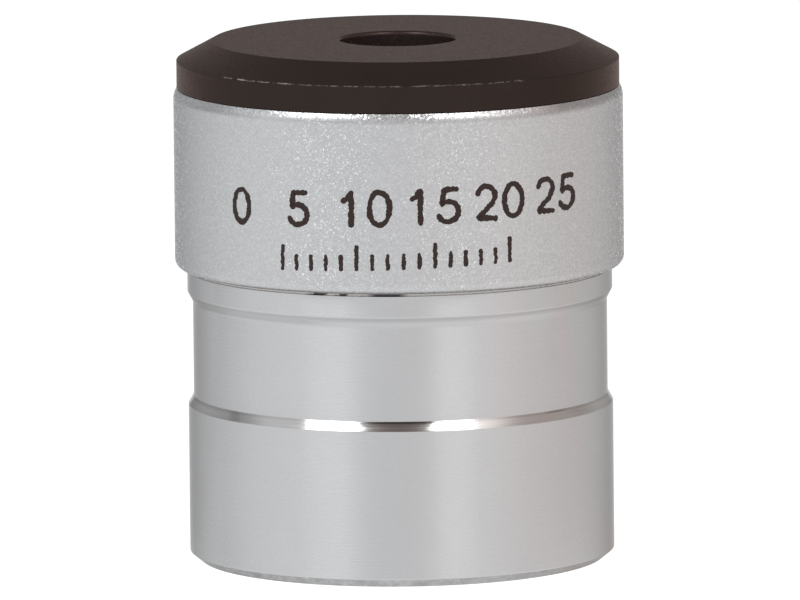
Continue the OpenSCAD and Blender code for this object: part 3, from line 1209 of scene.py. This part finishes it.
softbox("softbox_left", -46.5, 48, 1.2, 0.515, 0.60, 4.5, (0.975, 0.988, 1.0))
softbox("softbox_right", 35, 48, 1.2, 0.38, 0.55, 4.5)

world = bpy.data.worlds.new("studio")
bpy.context.scene.world = world
world.use_nodes = True
world_nodes, world_links = world.node_tree.nodes, world.node_tree.links
background = world_nodes["Background"]


def world_math(operation, *values):
    return node_math(world.node_tree, operation, *values)


def world_ramp(*values):
    return node_ramp(world.node_tree, *values)


direction = world_nodes.new("ShaderNodeSeparateXYZ")
world_links.new(world_nodes.new("ShaderNodeTexCoord").outputs["Generated"], direction.inputs[0])
wx, wy, wz = direction.outputs
front = world_math("MULTIPLY", wy, -1.0)
low_down = world_ramp(wz, 0.15, 0.7, 1.0, 0.0)
front_glow = world_math("MULTIPLY", low_down, world_ramp(front, -0.3, 0.8, 0.0, 0.45))
azimuth = world_math("ARCTAN2", wx, front)


def band(centre, core, soft):
    return node_band(world.node_tree, azimuth, centre, core, soft)


def scaled(value, amount):
    return world_math("MULTIPLY", value, amount)


left_glow = scaled(band(-76, 12, 32), 0.31)
rear_glow = world_ramp(
    world_math("ABSOLUTE", azimuth), math.radians(116), math.radians(148), 0.0, 0.16)
left_post = scaled(band(-113, 2, 5), -0.12)

# wz is the sine of the elevation: this is 1 between about 27 and 62 degrees up
raised = world_math("MULTIPLY", world_ramp(wz, 0.36, 0.46), world_ramp(wz, 0.88, 0.96, 1.0, 0.0))
spill_start = world_ramp(azimuth, math.radians(40), math.radians(50))
spill_end = world_ramp(azimuth, math.radians(48), math.radians(88), 1.0, 0.0)
spill = world_math("MULTIPLY", spill_end, world_math("MULTIPLY", spill_start, raised))
right_glow = world_math("MULTIPLY", scaled(band(112, 22, 42), 0.07), raised)
near_floor = world_ramp(wz, 0.05, 0.4, 1.0, 0.0)
low_right = world_math("MULTIPLY", scaled(band(125, 35, 52), 0.14), near_floor)

# the darker gap between the two softboxes, above the camera
GAP_ELEVATION = math.radians(43)
gap = world_math("ADD", scaled(front, math.cos(GAP_ELEVATION)), scaled(wz, math.sin(GAP_ELEVATION)))
gap_share = world_ramp(gap, math.cos(math.radians(22)), math.cos(math.radians(5)))
gap_shade = scaled(gap_share, -0.28)

room = 0.46                  # the even grey that the glows are added to
for part in (front_glow, left_glow, rear_glow, right_glow, low_right, left_post, spill, gap_shade):
    room = world_math("ADD", part, room)

# cooler on the left and warmer on the right, with narrow pinkish strips
COOL = (0.972, 0.986, 1.0, 1)
WARM = (1.0, 0.966, 0.95, 1)
PINKISH = (1.0, 0.85, 0.8, 1)
sky = node_blend(world.node_tree, world_ramp(wx, -0.6, 0.95), COOL, WARM)
warm_side = scaled(band(100, 20, 40), 0.55)
strips = world_math("MAXIMUM", scaled(band(57, 6, 10), 0.15), band(96, 5, 8))
strips = world_math("MAXIMUM", strips, warm_side)
sky = node_blend(world.node_tree, world_math("MAXIMUM", strips, gap_share), sky, PINKISH)
world_links.new(sky, background.inputs["Color"])
world_links.new(room, background.inputs["Strength"])

camera_data = bpy.data.cameras.new("camera")
camera_data.sensor_width = 36.0
camera_data.lens = 814.0             # long enough to fill the frame from over a metre away
camera_data.clip_start, camera_data.clip_end = 0.05, 30.0
camera = bpy.data.objects.new("camera", camera_data)
bpy.context.scene.collection.objects.link(camera)
bpy.context.scene.camera = camera
CAMERA_DISTANCE = 1.35
CAMERA_ELEVATION = math.radians(8.2)
CAMERA_ROLL = math.radians(0.55)
back = Vector((0, -math.cos(CAMERA_ELEVATION), math.sin(CAMERA_ELEVATION)))
right = Vector((1, 0, 0))
up = back.cross(right)
tilted_up = up * math.cos(CAMERA_ROLL) + right * math.sin(CAMERA_ROLL)
tilted_right = right * math.cos(CAMERA_ROLL) - up * math.sin(CAMERA_ROLL)
camera.matrix_world = (
    Matrix.Translation(TARGET + back * CAMERA_DISTANCE)
    @ Matrix((tilted_right, tilted_up, back)).transposed().to_4x4()
)
bpy.context.scene.view_settings.view_transform = "Standard"
